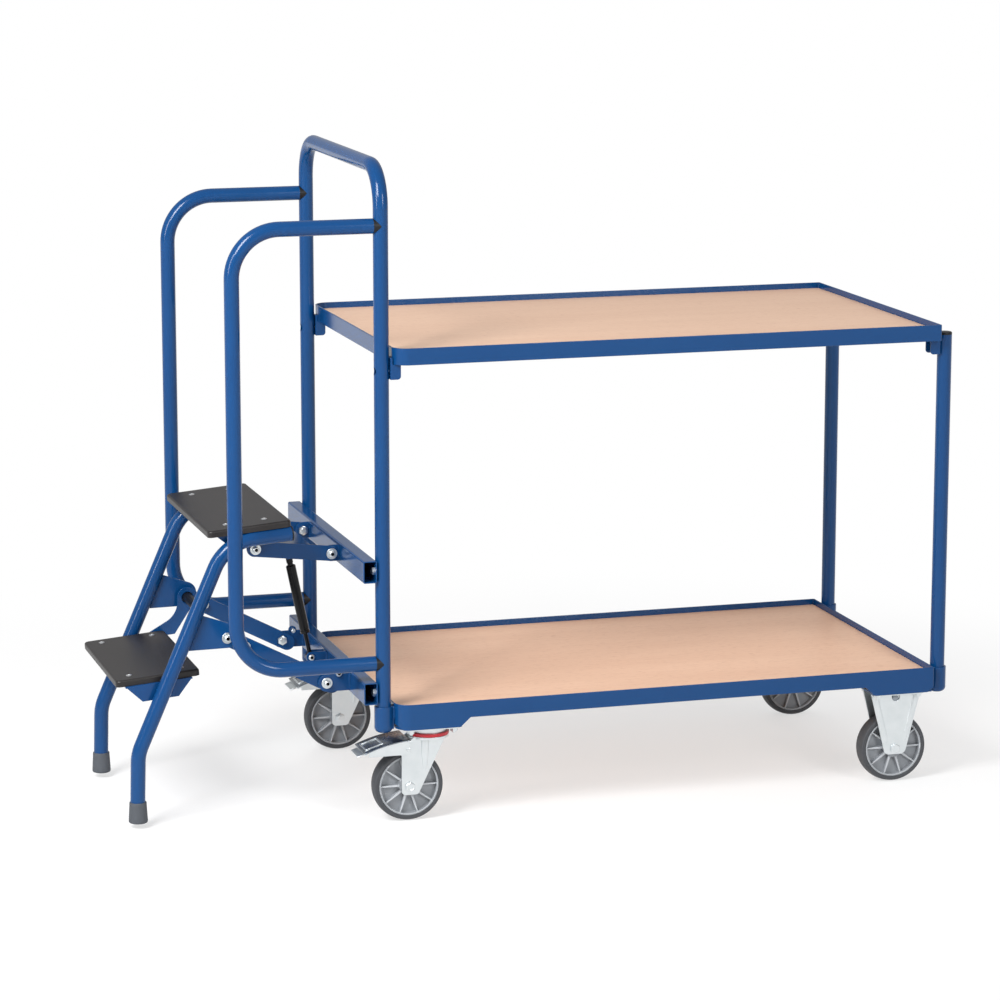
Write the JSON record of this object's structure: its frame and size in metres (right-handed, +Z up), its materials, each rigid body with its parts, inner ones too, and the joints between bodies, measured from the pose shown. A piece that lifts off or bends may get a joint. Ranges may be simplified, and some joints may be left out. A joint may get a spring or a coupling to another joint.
{
  "type": "order picking trolley",
  "caption": "Two-deck order picking trolley with a bent-tube push handle, side handrails, braked swivel and fixed casters, and a sprung step unit that sinks onto its feet when stepped on.",
  "frame": {"origin": "on the floor under the middle of the bounding box, with the steps raised", "axes": "+X along the decks away from the steps and the push handle, +Y to the far side of the picture, +Z up"},
  "size_m": [1.5476, 0.612, 1.1934],
  "materials": {
    "blue_paint": "satin powder coat",
    "beech_board": "matt beech decor",
    "zinc_steel": "bright zinc plate",
    "black_plastic": "matt",
    "tread_black": "fine anti-slip texture",
    "rivet_aluminium": "satin",
    "foot_rubber": "matt",
    "black_lacquer": "gloss",
    "rod_black": "black nitrided",
    "wheel_plastic": "matt",
    "tyre_rubber": "matt",
    "red_plastic": "satin"
  },
  "bodies": {
    "trolley_frame": {"lower_deck_frame": "blue_paint", "upper_deck_frame": "blue_paint", "lower_board": "beech_board", "upper_board": "beech_board", "caster_mounts": "blue_paint", "caster_bolts": "zinc_steel", "push_handle": "blue_paint", "right_posts": "blue_paint", "post_caps": "black_plastic", "post_sockets": "blue_paint", "deck_hangers": "blue_paint", "handrail_near": "blue_paint", "handrail_far": "blue_paint", "rail_saddles": "black_plastic", "post_bolts": "zinc_steel", "upper_crossbeam": "blue_paint", "lower_crossbeam": "blue_paint", "beam_bolts": "zinc_steel", "upper_bracket": "blue_paint", "lower_brackets": "blue_paint", "pivot_bolts": "zinc_steel", "stop_bolts": "zinc_steel", "spring_clevis": "blue_paint", "spring_foot_pin": "zinc_steel", "swivel_plates": "zinc_steel", "swivel_rings": "red_plastic", "fixed_forks": "zinc_steel", "fixed_axles": "zinc_steel"},
    "upper_arm": {"upper_arm": "blue_paint", "spring_top_pin": "zinc_steel"},
    "lower_arm": {"lower_arms": "blue_paint", "arm_sleeve": "black_plastic"},
    "step_unit": {"leg_near": "blue_paint", "leg_far": "blue_paint", "feet": "foot_rubber", "leg_plugs": "black_plastic", "top_tread": "tread_black", "low_tread": "tread_black", "tread_rivets": "rivet_aluminium", "top_console": "blue_paint", "low_console": "blue_paint", "riser": "blue_paint", "gussets": "blue_paint", "step_bolts": "zinc_steel"},
    "gas_cylinder": {"gas_cylinder": "black_lacquer"},
    "gas_rod": {"gas_rod": "rod_black"},
    "swivel_near": {"swivel_fork_near": "zinc_steel", "swivel_axle_near": "zinc_steel"},
    "pedal_near": {"brake_pedal_near": "zinc_steel"},
    "wheel_left_near": {"wheel_rim_left_near": "wheel_plastic", "tyre_left_near": "tyre_rubber"},
    "wheel_right_near": {"wheel_rim_right_near": "wheel_plastic", "tyre_right_near": "tyre_rubber"},
    "swivel_far": {"swivel_fork_far": "zinc_steel", "swivel_axle_far": "zinc_steel"},
    "pedal_far": {"brake_pedal_far": "zinc_steel"},
    "wheel_left_far": {"wheel_rim_left_far": "wheel_plastic", "tyre_left_far": "tyre_rubber"},
    "wheel_right_far": {"wheel_rim_right_far": "wheel_plastic", "tyre_right_far": "tyre_rubber"}
  },
  "joints": [
    {"name": "step_lower", "type": "hinge", "parent": "trolley_frame", "child": "upper_arm", "pos_m": [-0.36561, 0, 0.466], "axis": [0, -1, 0], "range_deg": [0, 10], "stiffness_Nm_per_rad": 16, "springref_deg": -57.3},
    {"name": "lower_arm_swing", "type": "hinge", "parent": "trolley_frame", "child": "lower_arm", "pos_m": [-0.39311, 0, 0.2422], "axis": [0, -1, 0], "range_deg": [0, 6.3]},
    {"name": "step_tilt", "type": "hinge", "parent": "upper_arm", "child": "step_unit", "pos_m": [-0.5067, 0, 0.48207], "axis": [0, 1, 0], "range_deg": [0, 13.6]},
    {"name": "spring_body_swing", "type": "hinge", "parent": "upper_arm", "child": "gas_cylinder", "pos_m": [-0.42011, 0, 0.44705], "axis": [0, 1, 0], "range_deg": [0, 10.7]},
    {"name": "spring_rod_swing", "type": "hinge", "parent": "trolley_frame", "child": "gas_rod", "pos_m": [-0.37961, 0, 0.2495], "axis": [0, 1, 0], "range_deg": [0, 0.7]},
    {"name": "swivel_near", "type": "hinge", "parent": "trolley_frame", "child": "swivel_near", "pos_m": [-0.22516, -0.2585, 0.15], "axis": [0, 0, 1], "continuous": true},
    {"name": "brake_near", "type": "hinge", "parent": "swivel_near", "child": "pedal_near", "pos_m": [-0.27116, -0.2585, 0.137], "axis": [0, -1, 0], "range_deg": [0, 8]},
    {"name": "roll_left_near", "type": "hinge", "parent": "swivel_near", "child": "wheel_left_near", "pos_m": [-0.26516, -0.2585, 0.065], "axis": [0, 1, 0], "continuous": true},
    {"name": "roll_right_near", "type": "hinge", "parent": "trolley_frame", "child": "wheel_right_near", "pos_m": [0.67384, -0.2585, 0.065], "axis": [0, 1, 0], "continuous": true},
    {"name": "swivel_far", "type": "hinge", "parent": "trolley_frame", "child": "swivel_far", "pos_m": [-0.22516, 0.2585, 0.15], "axis": [0, 0, 1], "continuous": true},
    {"name": "brake_far", "type": "hinge", "parent": "swivel_far", "child": "pedal_far", "pos_m": [-0.27116, 0.2585, 0.137], "axis": [0, -1, 0], "range_deg": [0, 8]},
    {"name": "roll_left_far", "type": "hinge", "parent": "swivel_far", "child": "wheel_left_far", "pos_m": [-0.26516, 0.2585, 0.065], "axis": [0, 1, 0], "continuous": true},
    {"name": "roll_right_far", "type": "hinge", "parent": "trolley_frame", "child": "wheel_right_far", "pos_m": [0.67384, 0.2585, 0.065], "axis": [0, 1, 0], "continuous": true}
  ],
  "couplings": [
    {"joint": "lower_arm_swing", "follows": "step_lower", "ratio": 0.62241},
    {"joint": "step_tilt", "follows": "step_lower", "ratio": 1.3486},
    {"joint": "spring_body_swing", "follows": "step_lower", "ratio": 1.0655},
    {"joint": "spring_rod_swing", "follows": "step_lower", "ratio": 0.065482}
  ]
}
